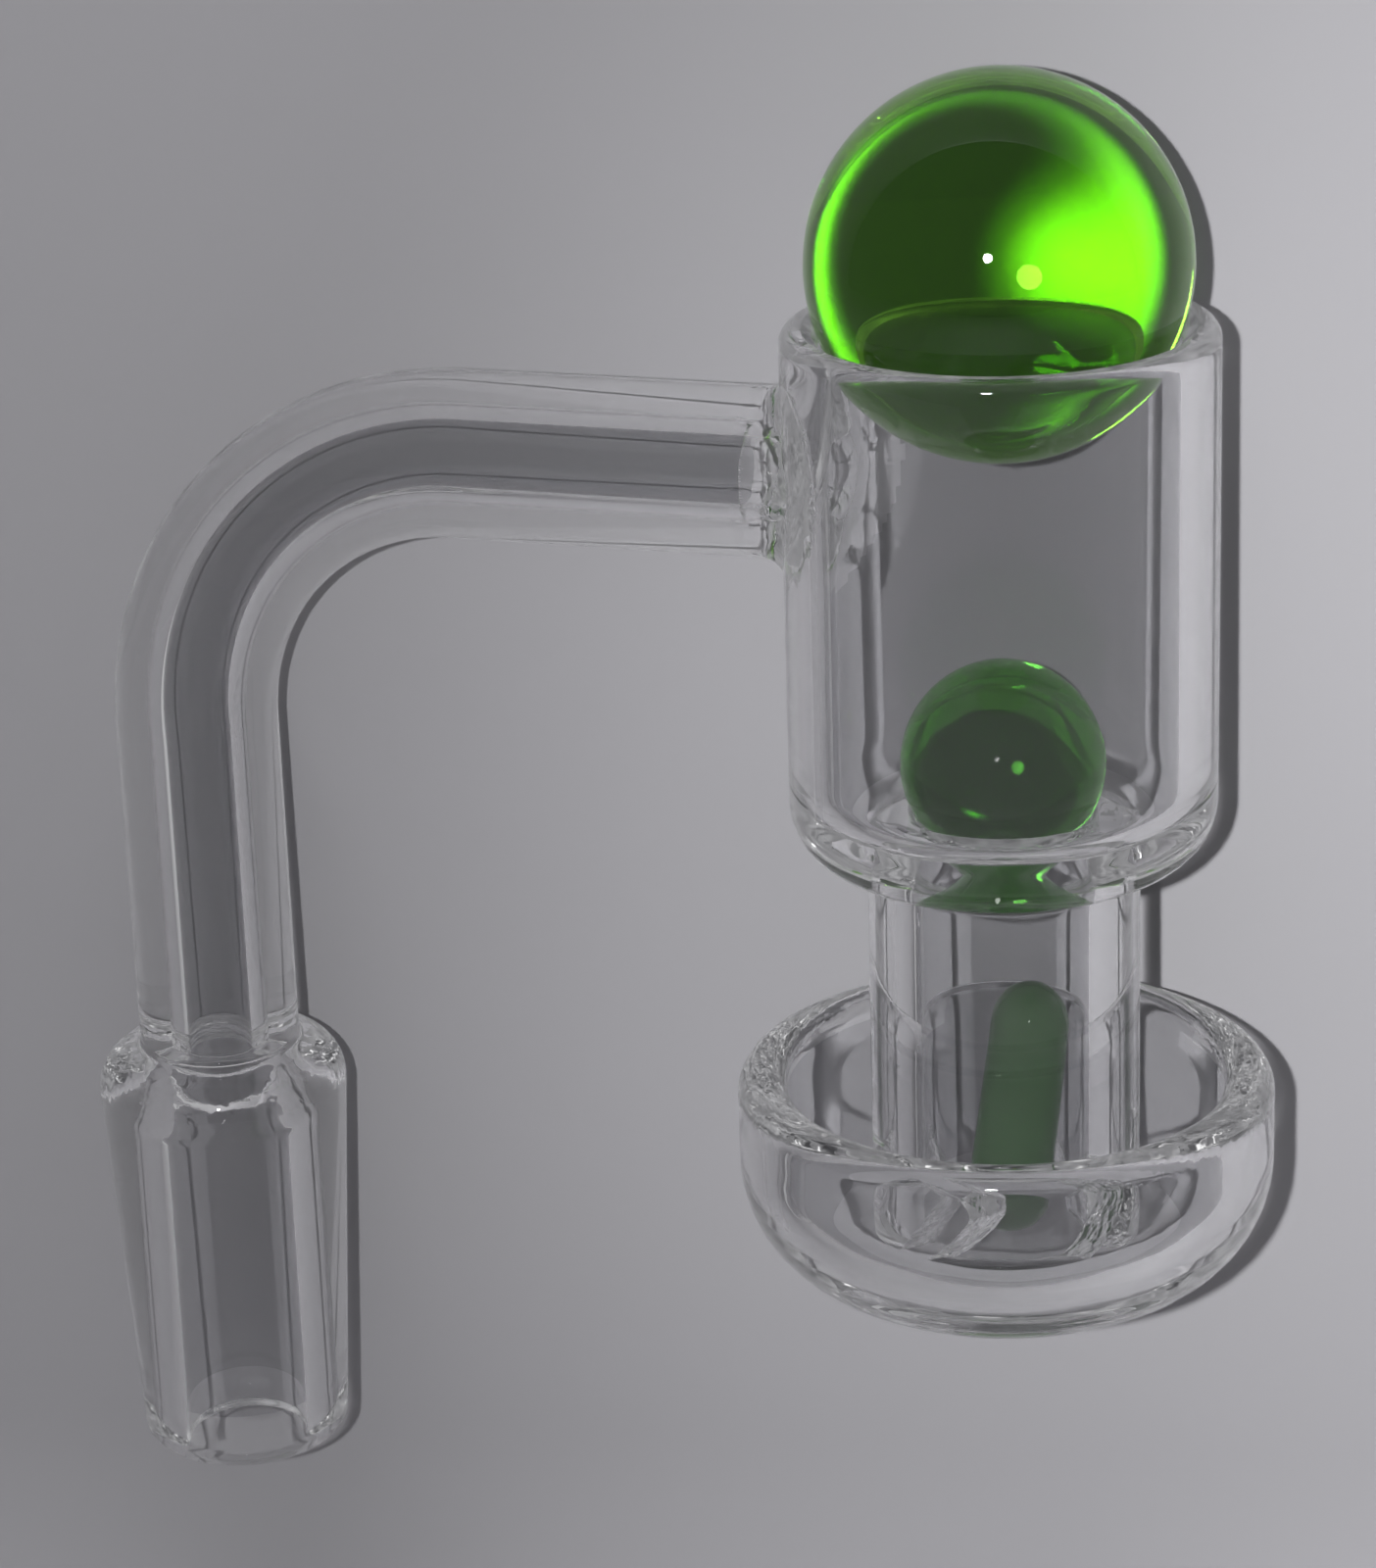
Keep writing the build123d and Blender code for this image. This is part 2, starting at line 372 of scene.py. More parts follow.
def rounded_section(tree, given):
    """Round the corners of a section and cut up its straight runs."""
    section = add(tree, "GeometryNodeMeshToCurve", {"Mesh": given["Geometry"]})
    rounding = add(tree, "GeometryNodeInputNamedAttribute", {"Name": "rounding"}, data_type="FLOAT")
    corners = {"Curve": section, "Count": given["Arc Steps"], "Radius": rounding, "Limit Radius": True}
    rounded = add(tree, "GeometryNodeFilletCurve", corners, mode="POLY")
    here = add(tree, "GeometryNodeInputPosition")
    index = add(tree, "GeometryNodeInputIndex")
    count = add(tree, "GeometryNodeAttributeDomainSize", {"Geometry": rounded}, component="CURVE")
    after = add(tree, "ShaderNodeMath", {0: index, 1: 1.0}, operation="ADD")
    after = {0: after, 1: count.outputs["Point Count"]}
    ahead = {"Value": here, "Index": add(tree, "ShaderNodeMath", after, operation="FLOORED_MODULO")}
    ahead = add(tree, "GeometryNodeFieldAtIndex", ahead, domain="POINT", data_type="FLOAT_VECTOR")
    run = add(tree, "ShaderNodeVectorMath", {0: ahead, 1: here}, operation="DISTANCE").outputs["Value"]
    steps = add(tree, "ShaderNodeMath", {0: run, 1: given["Longest Step"]}, operation="DIVIDE")
    cuts = add(tree, "ShaderNodeMath", {0: steps}, operation="FLOOR")
    return add(tree, "GeometryNodeSubdivideCurve", {"Curve": rounded, "Cuts": cuts})


print("The section is swept round a circle of radius", FORMER, "mm")

# %% The lathe
def lathe_tree():
    """Turn a section with rounded corners about Z."""
    tree, given = new_tree(
        "Turned glass",
        [
            ("Turns", "NodeSocketInt", 160),
            ("Arc Steps", "NodeSocketInt", 10),
            ("Longest Step", "NodeSocketFloat", 0.5 * MM),
            ("Sharp Angle", "NodeSocketFloat", math.radians(32)),
            ("Material", "NodeSocketMaterial", None),
        ],
    )
    section = rounded_section(tree, given)
    circle = {"Resolution": given["Turns"], "Radius": FORMER * MM}
    former = add(tree, "GeometryNodeCurvePrimitiveCircle", circle, mode="RADIUS")
    swept = add(tree, "GeometryNodeCurveToMesh", {"Curve": former, "Profile Curve": section})
    closed = add(tree, "GeometryNodeMergeByDistance", {"Geometry": swept, "Distance": 0.001 * MM})
    smooth = add(tree, "GeometryNodeSetShadeSmooth", {0: closed}, domain="FACE")
    angle = add(tree, "GeometryNodeInputMeshEdgeAngle").outputs["Unsigned Angle"]
    sharp = add(tree, "ShaderNodeMath", {0: angle, 1: given["Sharp Angle"]}, operation="GREATER_THAN")
    creased = {"Geometry": smooth, "Selection": sharp, "Shade Smooth": False}
    creased = add(tree, "GeometryNodeSetShadeSmooth", creased, domain="EDGE")
    return close_tree(tree, creased, given["Material"])


lathe = lathe_tree()

# %% [markdown]
# A tree is run on a mesh by a throwaway object. Each input is set by its identifier before the
# object is first evaluated, and the evaluated object turns into a plain mesh, so no modifier is
# left on a finished piece.

# %% Running a tree
def run_tree(mesh, tree, **values):
    """Run a tree on a mesh and return the result as a plain mesh."""
    holder = bpy.data.objects.new("holder", mesh)
    bpy.context.scene.collection.objects.link(holder)
    modifier = holder.modifiers.new(tree.name, "NODES")
    modifier.node_group = tree
    for item in tree.interface.items_tree:
        label = item.name.lower().replace(" ", "_")
        if item.in_out == "INPUT" and label in values:
            modifier[item.identifier] = values[label]
    graph = bpy.context.evaluated_depsgraph_get()
    result = bpy.data.meshes.new_from_object(holder.evaluated_get(graph))
    bpy.data.objects.remove(holder)
    return result


def turned(corners, rounds, material, closed=True, **values):
    """Turn a section of (radius, height) corners in millimetres about Z, each with its rounding."""
    points = [((r - FORMER) * MM, -z * MM, 0) for r, z in corners]
    last = len(points) if closed else len(points) - 1
    edges = [(i, (i + 1) % len(points)) for i in range(last)]
    mesh = bpy.data.meshes.new("section")
    mesh.from_pydata(points, edges, [])
    layer = mesh.attributes.new("rounding", "FLOAT", "POINT")
    layer.data.foreach_set("value", [r * MM for r in rounds])
    return run_tree(mesh, lathe, material=material, **values)


trial = turned([(4, 0), (5, 0), (5, 10), (4, 10)], [0, 0, 0.5, 0.5], polished)
print("A trial tube has", len(trial.polygons), "faces")

# %% [markdown]
# Glass shows every flaw of its mesh, because light has to enter and leave through matching faces.
# So each piece is closed, its doubles are merged and its faces point outwards before it is used.
# Pieces that grow out of one another, such as the flare of the arm in the chamber's wall, are
# joined by an exact boolean.

# %% Closing and joining
def outward(mesh):
    """Merge doubles, point all faces outwards, and return the number of open edges."""
    bm = bmesh.new()
    bm.from_mesh(mesh)
    bmesh.ops.remove_doubles(bm, verts=bm.verts, dist=0.0005 * MM)
    bmesh.ops.dissolve_degenerate(bm, edges=bm.edges, dist=0.0005 * MM)
    bmesh.ops.recalc_face_normals(bm, faces=bm.faces)
    open_edges = sum(1 for edge in bm.edges if not edge.is_manifold)
    bm.to_mesh(mesh)
    bm.free()
    return open_edges


def combine(mesh, other, operation):
    """Add or cut one closed mesh with another by an exact boolean."""
    base = bpy.data.objects.new("base", mesh)
    tool = bpy.data.objects.new("tool", other)
    for obj in (base, tool):
        bpy.context.scene.collection.objects.link(obj)
        outward(obj.data)
    modifier = base.modifiers.new("boolean", "BOOLEAN")
    modifier.object = tool
    modifier.operation = operation
    modifier.solver = "EXACT"
    graph = bpy.context.evaluated_depsgraph_get()
    result = bpy.data.meshes.new_from_object(base.evaluated_get(graph))
    for obj in (base, tool):
        bpy.data.objects.remove(obj)
    return result


def creased(mesh, degrees=32):
    """Smooth shading with creases where faces meet at more than an angle."""
    mesh.shade_smooth()
    mesh.set_sharp_from_angle(angle=math.radians(degrees))
    return mesh


print("The trial tube has", outward(trial), "open edges")

# %% [markdown]
# A finished piece takes the place of its CAD solid and rides on the body that moves it. Its mesh
# already stands at its place, so the object itself stays at the origin. Parts of a piece that
# have a finish of their own are named as zones: a material, and a test on the middle and the
# direction of a face.

# %% Placing a piece
def moved(mesh, x=0.0, y=0.0, z=0.0, turn=None):
    """Turn a mesh and then shift it, in millimetres."""
    mesh.transform(Matrix.Translation(Vector((x, y, z)) * MM) @ (turn or Matrix.Identity(4)))
    return mesh


def place(mesh, node, body, material, zones=()):
    """Make a finished piece that stands for a CAD node."""
    open_edges = outward(mesh)
    mesh.materials.clear()
    for finish in [material] + [zone[0] for zone in zones]:
        mesh.materials.append(finish)
    for polygon in mesh.polygons:
        middle = polygon.center / MM
        hits = [i for i, zone in enumerate(zones, 1) if zone[1](middle, polygon.normal)]
        polygon.material_index = hits[0] if hits else 0
    piece = bpy.data.objects.new(node + "_glass", mesh)
    bpy.context.scene.collection.objects.link(piece)
    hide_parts(node)
    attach(piece, body)
    mesh.calc_loop_triangles()
    print(f"{node}: {len(mesh.loop_triangles)} triangles, {open_edges} open edges")
    return piece


def at_height(z):
    """Test for a face that lies flat at a height."""
    return lambda p, n: abs(p.z - z) < 0.001


def facing_axis(x):
    """Test for a face that looks inwards, at an upright axis."""
    return lambda p, n: (p.x - x) * n.x + p.y * n.y < -0.5 * math.hypot(p.x - x, p.y)


bpy.data.meshes.remove(trial)
print("Ready to make", len(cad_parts), "pieces")

# %% [markdown]
# ## The ground joint
#
# The joint is thick tube, ground to a standard taper of one in ten on the outside and blown into
# a rounded shoulder at the top, where the narrower arm is welded on. Its mouth is fire-polished.
# Where the joint's wide bore meets the arm's narrow one, the glass shows rings, as when it is
# worked in against the flame in small steps. Their depth is a guess. The section follows all this
# from corner to corner.

# %% Ground joint
arm_bore_r = 2.0
joint_top_z = high("ground_joint").z
joint_base_z = low("ground_joint").z
mouth_r = 6.5
joint_bore_r = 3.8
shoulder_z = joint_top_z - 1.0
shoulder_drop = 1.2
shoulder_r = 7.89
ring_pitch = 0.6
throat = [(2.9, 0), (3.3, 1), (2.7, 2), (3.1, 3), (2.5, 4), (2.9, 5)]
throat_foot_z = shoulder_z - 4.1
mouth_band = 3.4  # height of the hand-worked mouth
shoulder_band = 3.0  # height of the welded shoulder
beside_stub = 0.3  # the stub itself stays polished, as far out as this


def on_shoulder(p, n):
    """Test for a face of the shoulder, outside the stub that carries the arm."""
    return p.z > shoulder_z - shoulder_band and math.hypot(p.x, p.y) > arm_r + beside_stub


joint = turned(
    [
        (arm_bore_r, joint_top_z),
        (arm_r, joint_top_z),
        (arm_r, shoulder_z),
        (shoulder_r, shoulder_z - shoulder_drop),
        (mouth_r, joint_base_z),
        (joint_bore_r, joint_base_z),
        (joint_bore_r, throat_foot_z - 1.1),
    ]
    + [(r, throat_foot_z + step * ring_pitch) for r, step in throat]
    + [(arm_bore_r, throat_foot_z + len(throat) * ring_pitch + 0.3)],
    [0, 0, 0.5, 2.8, 1.5, 0.8, 0.8] + [0.3] * len(throat) + [0.4],
    polished,
)
place(
    joint,
    "ground_joint",
    "vessel",
    polished,
    [
        (fused, at_height(joint_top_z)),
        (handmade, lambda p, n: p.z < joint_base_z + mouth_band),
        (welded, on_shoulder),
        (bore, facing_axis(joint_axis.x)),
    ],
)

# %% [markdown]
# ## The side arm
#
# The arm is a straight length of drawn tube, bent in the flame over a round former. It is made in
# the same order here: the lathe gives a straight tube, and a second tree bends it. Each point of
# the tube keeps its distance from the tube's axis, while its height along the axis becomes a
# distance along the route. The wall stays even all round the bend, as it does when a bend is made
# with care.

# %% The route of the arm
def route_nodes(tree, given):
    """A line up, a line out, and a bend of the given radius between them."""
    foot = add(tree, "ShaderNodeCombineXYZ", {"Z": given["Start Height"]})
    corner = add(tree, "ShaderNodeCombineXYZ", {"Z": given["Axis Height"]})
    tip = add(tree, "ShaderNodeCombineXYZ", {"X": given["Reach"], "Z": given["Axis Height"]})
    up = add(tree, "GeometryNodeCurvePrimitiveLine", {"Start": foot, "End": corner})
    out = add(tree, "GeometryNodeCurvePrimitiveLine", {"Start": corner, "End": tip})
    lines = add(tree, "GeometryNodeJoinGeometry")
    for line in (up, out):
        tree.links.new(line.outputs[0], lines.inputs[0])
    edges = add(tree, "GeometryNodeCurveToMesh", {"Curve": lines})
    joined = add(tree, "GeometryNodeMergeByDistance", {"Geometry": edges, "Distance": 0.01 * MM})
    route = add(tree, "GeometryNodeMeshToCurve", {"Mesh": joined})
    bend = {"Curve": route, "Count": given["Bend Steps"], "Radius": given["Bend Radius"]}
    return add(tree, "GeometryNodeFilletCurve", bend, mode="POLY")


def bend_tree():
    """Bend a straight upright tube along a route in the XZ plane."""
    tree, given = new_tree(
        "Bent over a former",
        [
            ("Start Height", "NodeSocketFloat", 0.0),
            ("Axis Height", "NodeSocketFloat", 0.0),
            ("Reach", "NodeSocketFloat", 0.0),
            ("Bend Radius", "NodeSocketFloat", 0.0),
            ("Bend Steps", "NodeSocketInt", 180),
            ("Material", "NodeSocketMaterial", None),
        ],
    )
    in_tube = add(tree, "ShaderNodeSeparateXYZ", {0: add(tree, "GeometryNodeInputPosition")})
    sample = {"Curves": route_nodes(tree, given), "Length": in_tube.outputs["Z"]}
    on_route = add(tree, "GeometryNodeSampleCurve", sample, mode="LENGTH", use_all_curves=True)
    side = add(tree, "ShaderNodeCombineXYZ", {"Y": 1.0})
    ahead = on_route.outputs["Tangent"]
    across = add(tree, "ShaderNodeVectorMath", {0: side, 1: ahead}, operation="CROSS_PRODUCT")
    across = add(tree, "ShaderNodeVectorMath", {0: across, "Scale": in_tube.outputs["X"]}, operation="SCALE")
    side = add(tree, "ShaderNodeVectorMath", {0: side, "Scale": in_tube.outputs["Y"]}, operation="SCALE")
    shift = add(tree, "ShaderNodeVectorMath", {0: across, 1: side}, operation="ADD")
    middle = on_route.outputs["Position"]
    target = add(tree, "ShaderNodeVectorMath", {0: middle, 1: shift}, operation="ADD")
    bent = add(tree, "GeometryNodeSetPosition", {"Geometry": given["Geometry"], "Position": target})
    return close_tree(tree, bent, given["Material"])


former = bend_tree()

# %% [markdown]
# The arm ends just before the chamber's wall, where the weld's flare begins. Its length is the sum
# of the straight run up, the quarter bend and the straight run out.

# %% Side arm
arm_bend_r = 18.0
weld_length = 2.2
weld_x = chamber_axis.x - chamber_r - weld_length
straight_up = arm_z - arm_bend_r - joint_top_z
straight_out = weld_x - arm_bend_r
arm_length = straight_up + arm_bend_r * math.pi / 2 + straight_out


def in_arm_bore(p, n):
    """Test for a face of the arm's bore: nearer to the bent axis than the middle of the wall."""
    if p.z < arm_z - arm_bend_r:
        off = math.hypot(p.x, p.y)
    elif p.x > arm_bend_r:
        off = math.hypot(p.z - arm_z, p.y)
    else:
        off = math.hypot(math.hypot(p.x - arm_bend_r, p.z - arm_z + arm_bend_r) - arm_bend_r, p.y)
    return off < (arm_bore_r + arm_r) / 2


tube = [(arm_bore_r, 0), (arm_r, 0), (arm_r, arm_length), (arm_bore_r, arm_length)]
arm = run_tree(
    turned(tube, [0, 0, 0, 0], polished, turns=96),
    former,
    start_height=joint_top_z * MM,
    axis_height=arm_z * MM,
    reach=weld_x * MM,
    bend_radius=arm_bend_r * MM,
    material=polished,
)
print("The arm is", round(arm_length, 1), "mm of tube")
place(
    arm,
    "arm_elbow",
    "vessel",
    polished,
    [
        (fused, lambda p, n: abs(p.z - joint_top_z) < 0.001 or abs(p.x - weld_x) < 0.001),
        (narrow_bore, in_arm_bore),
    ],
)

# %% [markdown]
# ## The chamber
#
# The chamber is a cup of wide tube with a rounded bottom, a seat in its floor and a bevel inside
# its rim that carries the big marble. The lathe makes all of that from one section.
#
# The weld of the arm is the maker's hardest passage: the tube flares into the wall all round, and
# its bore opens into the chamber with a soft edge. Both the flare and the port are turned about
# the arm's axis, and then pushed along that axis so that they follow the round wall like a saddle.

# %% Cup
chamber_base_z = low("chamber").z
chamber_height = high("chamber").z - chamber_base_z
chamber_wall = 2.3
chamber_floor = 3.0
inner_r = chamber_r - chamber_wall
rim_bevel = 1.0
neck_r = 8.0
neck_bore_r = 5.0
neck_collar = 0.6
cup = turned(
    [
        (neck_bore_r, 0),
        (neck_r + neck_collar, 0),
        (chamber_r, 0),
        (chamber_r, chamber_height),
        (inner_r + rim_bevel, chamber_height),
        (inner_r, chamber_height - rim_bevel),
        (inner_r, chamber_floor),
        (neck_bore_r, chamber_floor),
    ],
    [0, 0, 3.8, 0.9, 0.3, 0.3, 2.4, 0.8],
    polished,
)
moved(cup, x=chamber_axis.x, z=chamber_base_z)
print("The cup is", round(2 * chamber_r, 1), "mm across with a bore of", round(2 * inner_r, 1), "mm")

# %% Flare and port of the arm
along_x = Matrix.Rotation(math.radians(90), 4, "Y")


def saddle(mesh, wall_r, start_x, end_x):
    """Push a ring that is turned about X on to an upright round wall, more and more along X."""
    for vertex in mesh.vertices:
        x, y, z = vertex.co / MM
        part = min(max((x - start_x) / (end_x - start_x), 0.0), 1.0)
        if abs(y) < wall_r:
            vertex.co.x += part * (wall_r - math.sqrt(wall_r**2 - y**2)) * MM
    return moved(mesh, z=arm_z)


wall_x = chamber_axis.x - chamber_r
sunk = 0.12  # how far the flare's foot lies in the wall
flare_r = 1.5
flare_corners = [
    (0, wall_x + 2),
    (arm_r + flare_r, wall_x + 2),
    (arm_r + flare_r, wall_x + sunk),
    (arm_r, wall_x + sunk),
    (arm_r, weld_x),
    (0, weld_x),
]
flare = turned(flare_corners, [0, 0, 0, flare_r, 0, 0], polished, closed=False, turns=128)
saddle(moved(flare, turn=along_x), chamber_r, weld_x + 0.3, wall_x + sunk)

port_round = 0.8
port_x = chamber_axis.x - inner_r - 0.03
port_corners = [
    (0, weld_x - 1),
    (arm_bore_r, weld_x - 1),
    (arm_bore_r, port_x),
    (arm_bore_r + port_round, port_x),
    (arm_bore_r + port_round, port_x + 2),
    (0, port_x + 2),
]
port = turned(port_corners, [0, 0, port_round, 0, 0, 0], polished, closed=False, turns=96)
saddle(moved(port, turn=along_x), inner_r, port_x - port_round, port_x)
print("The flare starts", weld_length, "mm before the wall, and the port's edge is", port_round, "mm round")

# %% Chamber
chamber = combine(cup, flare, "UNION")
chamber = creased(combine(chamber, port, "DIFFERENCE"))


def on_chamber_weld(p, n):
    """Test for a face on the weld with the arm or with the neck."""
    off = math.hypot(p.x - chamber_axis.x, p.y)
    return abs(p.x - weld_x) < 0.001 or (abs(p.z - chamber_base_z) < 0.001 and off < neck_r + neck_collar)


def round_the_port(p, n):
    """Test for a face of the flare or of the wall near it."""
    return p.x < chamber_axis.x - inner_r / 2 and math.hypot(p.y, p.z - arm_z) < arm_r + 1.5


place(
    chamber,
    "chamber",
    "vessel",
    polished,
    [(fused, on_chamber_weld), (welded, round_the_port), (bore, facing_axis(chamber_axis.x))],
)

# %% [markdown]
# ## The neck and its slots
#
# The neck is thick tube with a little collar at the top, where the weld with the chamber has
# drawn it out. Four slots are sawn into its foot, all leaning the same way, so that the air goes
# into a whirl. They are the maker's signature on this piece.
#
# What repeats round an axis suits Geometry Nodes well: one cutter with a round head, as many
# points as there are slots, and a turn for each. The cutters start outside the axis, because an
# exact boolean fails on cutters that run into each other.

# %% The saw
slot_count = 4
slot_width = 2.0
slot_length = 6.0
slot_lean = math.radians(35)
slot_turn = math.radians(60)


def slot_tree():
    """Cut leaning slots with a round head into the foot of an upright tube."""
    tree, given = new_tree(
        "Slots round the foot",
        [
            ("Count", "NodeSocketInt", slot_count),
            ("Width", "NodeSocketFloat", slot_width * MM),
            ("Height", "NodeSocketFloat", slot_length * MM),
            ("Lean", "NodeSocketFloat", slot_lean),
            ("First Turn", "NodeSocketFloat", slot_turn),
            ("From Axis", "NodeSocketFloat", 4 * MM),
            ("Depth", "NodeSocketFloat", 12 * MM),
            ("Material", "NodeSocketMaterial", None),
        ],
    )
    tall = add(tree, "ShaderNodeMath", {0: given["Height"], 1: 2.0}, operation="MULTIPLY")
    outline = {"Width": given["Width"], "Height": tall}
    outline = add(tree, "GeometryNodeCurvePrimitiveQuadrilateral", outline, mode="RECTANGLE")
    half = add(tree, "ShaderNodeMath", {0: given["Width"], 1: 0.499}, operation="MULTIPLY")
    head = add(tree, "GeometryNodeFilletCurve", {"Curve": outline, "Count": 12, "Radius": half}, mode="POLY")
    start = add(tree, "ShaderNodeCombineXYZ", {"X": given["From Axis"]})
    reach = add(tree, "ShaderNodeCombineXYZ", {"X": given["Depth"]})
    line = add(tree, "GeometryNodeCurvePrimitiveLine", {"Start": start, "End": reach})
    cutter = {"Curve": line, "Profile Curve": head, "Fill Caps": True}
    cutter = add(tree, "GeometryNodeCurveToMesh", cutter)
    points = add(tree, "GeometryNodePoints", {"Count": given["Count"]})
    index = add(tree, "GeometryNodeInputIndex")
    step = add(tree, "ShaderNodeMath", {0: math.tau, 1: given["Count"]}, operation="DIVIDE")
    around = {0: index, 1: step, 2: given["First Turn"]}
    around = add(tree, "ShaderNodeMath", around, operation="MULTIPLY_ADD")
    tipped = add(tree, "ShaderNodeMath", {0: given["Lean"], 1: -1.0}, operation="MULTIPLY")
    turn = add(tree, "ShaderNodeCombineXYZ", {"X": tipped, "Z": around})
    ring = add(tree, "GeometryNodeInstanceOnPoints", {"Points": points, "Instance": cutter, "Rotation": turn})
    saws = add(tree, "GeometryNodeRealizeInstances", {0: ring})
    solids = {"Mesh 1": given["Geometry"], "Mesh 2": saws}
    cut = add(tree, "GeometryNodeMeshBoolean", solids, operation="DIFFERENCE", solver="EXACT")
    return close_tree(tree, cut, given["Material"])


saw = slot_tree()

# %% Neck
neck_foot_z = low("neck_tube").z
neck_length = chamber_base_z - neck_foot_z
tube = [
    (neck_bore_r, 0),
    (neck_r, 0),
    (neck_r, neck_length - neck_collar),
    (neck_r + neck_collar, neck_length),
    (neck_bore_r, neck_length),
]
blank = turned(tube, [0, 0, neck_collar, 0, 0], polished)
print("The neck's blank is", round(neck_length, 1), "mm long with", outward(blank), "open edges")
neck = creased(run_tree(blank, saw, material=polished))
moved(neck, x=chamber_axis.x, z=neck_foot_z)


def in_slot(p, n):
    """Test for a face that the saw left: low on the neck and turned neither out nor in."""
    x, y = p.x - chamber_axis.x, p.y
    turned_out = abs(n.x * x + n.y * y) / math.hypot(x, y) > 0.8
    return p.z < neck_foot_z + slot_length + 1 and not turned_out


place(
    neck,
    "neck_tube",
    "vessel",
    polished,
    [
        (fused, at_height(chamber_base_z)),
        (fused, at_height(neck_foot_z)),
        (sawn, in_slot),
        (bore, facing_axis(chamber_axis.x)),
    ],
)

# %% [markdown]
# ## The dish
#
# The dish is a thick shallow bowl with full round corners and a soft rim. The neck is welded to
# its floor, except where the slots open. The section has extra corners at the neck's bore and
# outer wall, with no rounding, so that the weld gets faces of its own.

# %% Dish
dish_base_z = low("dish").z
dish_height = high("dish").z - dish_base_z
dish_wall = 3.0
dish_floor = neck_foot_z - dish_base_z
rim_band = 1.4  # height of the rim
rim_side_share = 0.6  # share of the dish's radius outside which its two sides lie
bowl = turned(
    [
        (0, 0),
        (dish_r, 0),
        (dish_r, dish_height),
        (dish_r - dish_wall, dish_height),
        (dish_r - dish_wall, dish_floor),
        (neck_r, dish_floor),
        (neck_bore_r, dish_floor),
        (0, dish_floor),
    ],
    [0, 7.5, 1.35, 1.35, 4.5, 0, 0, 0],
    handmade,
    closed=False,
)
moved(bowl, x=chamber_axis.x, z=dish_base_z)


def under_neck(p, n):
    """Test for a face of the floor that the neck's foot stands on, between the slots."""
    x, y = p.x - chamber_axis.x, p.y
    if abs(p.z - neck_foot_z) > 0.001 or not neck_bore_r < math.hypot(x, y) < neck_r:
        return False
    for step in range(slot_count):
        angle = slot_turn + math.tau * step / slot_count
        along = x * math.cos(angle) + y * math.sin(angle)
        aside = y * math.cos(angle) - x * math.sin(angle)
        if along > 0 and abs(aside) < slot_width / 2 / math.cos(slot_lean):
            return False
    return True


def rim_side(p, n):
    """Test for a face at one of the two sides of the rim."""
    above = p.z > dish_base_z + dish_height - rim_band
    return above and abs(p.x - chamber_axis.x) > dish_r * rim_side_share


place(
    bowl,
    "dish",
    "vessel",
    handmade,
    [(fused, under_neck), (welded, rim_side), (bore, facing_axis(chamber_axis.x))],
)

# %% [markdown]
# ## The loose pieces
#
# A marble is a ball, and the lathe turns it from a square section whose two outer corners are
# rounded by the full radius. The big one sits on the rim as a lid, and the small one on the seat
# in the chamber's floor as a valve.

# %% Marbles
def marble(node, material):
    """A ball in the box of its node, riding on the body of the same name."""
    centre = (low(node) + high(node)) / 2
    r = (high(node).z - low(node).z) / 2
    corners = [(0, -r), (r, -r), (r, r), (0, r)]
    ball = turned(corners, [0, r, r, 0], material, closed=False, arc_steps=48, turns=128)
    print(node, "is", round(2 * r, 2), "mm across")
    return place(moved(ball, *centre), node, node, material)


marble("cap_marble", green)
marble("valve_marble", painted_shade_green)

# %% [markdown]
# The pill leans in the neck, with its foot in the dish and its head against the bore. Its lean and
# its direction are worked out from its box: a rod with round ends fills its box from the middle
# of its lower end's ball to the middle of its upper one's.

# %% Pill
pill_r = 2.5
pill_length = 15.0
corners = [(0, 0), (pill_r, 0), (pill_r, pill_length), (0, pill_length)]
pill = turned(corners, [0, pill_r, pill_r, 0], clouded, closed=False, arc_steps=24, turns=96)
foot = low("pill") + Vector((pill_r, pill_r, pill_r))
head = high("pill") - Vector((pill_r, pill_r, pill_r))
rod = head - foot
lean = math.atan2(math.hypot(rod.x, rod.y), rod.z)
direction = math.atan2(rod.y, rod.x)
upright = Matrix.Translation((0, 0, -pill_r * MM))
turn = Matrix.Rotation(direction, 4, "Z") @ Matrix.Rotation(lean, 4, "Y") @ upright
print("The pill leans", round(math.degrees(lean), 1), "degrees")
place(moved(pill, *foot, turn=turn), "pill", "pill", clouded)

# %% [markdown]
# ## The stage
#
# The glass leans on a sheet of pale matt paper, which sweeps forward under it as a studio roll
# does. The sheet touches the dish, the chamber and the joint, so its direction follows from
# their radii. Clear glass needs a plain ground of about mid tone: on white its bright edges
# would be lost, and on black its dark ones. Seen from behind, the sheet is open, so that the
# object can be looked at from all sides.
#
# Far from the object, beyond its shadow, the sheet passes softly into the plain pale grey of the
# room, so that no edge of it shows. Light Path tells the rays that see it, straight or through
# glass, from those that carry its light to the object. Mirrored rays see three tenths of that
# grey, as in a room that is darker than the lit paper.

# %% What the eye sees
PALE = linear("AEAEB0")
MIRRORED_SHARE = 0.3


def seen_share(tree):
    """How much a ray sees of the plain pale surroundings: all, if straight or through glass."""
    path = add(tree, "ShaderNodeLightPath").outputs
    direct = {0: path["Is Camera Ray"], 1: path["Is Transmission Ray"]}
    direct = add(tree, "ShaderNodeMath", direct, operation="MAXIMUM")
    mirrored = {0: path["Is Glossy Ray"], 1: MIRRORED_SHARE}
    mirrored = add(tree, "ShaderNodeMath", mirrored, operation="MULTIPLY")
    return add(tree, "ShaderNodeMath", {0: direct, 1: mirrored}, operation="MAXIMUM")


# %% Matt paper
fade_from, fade_to = 110.0, 330.0  # distance from a point under the chamber, in millimetres
paper = bpy.data.materials.new("matt_paper")
paper.use_nodes = True
tree = paper.node_tree
tree.nodes.clear()
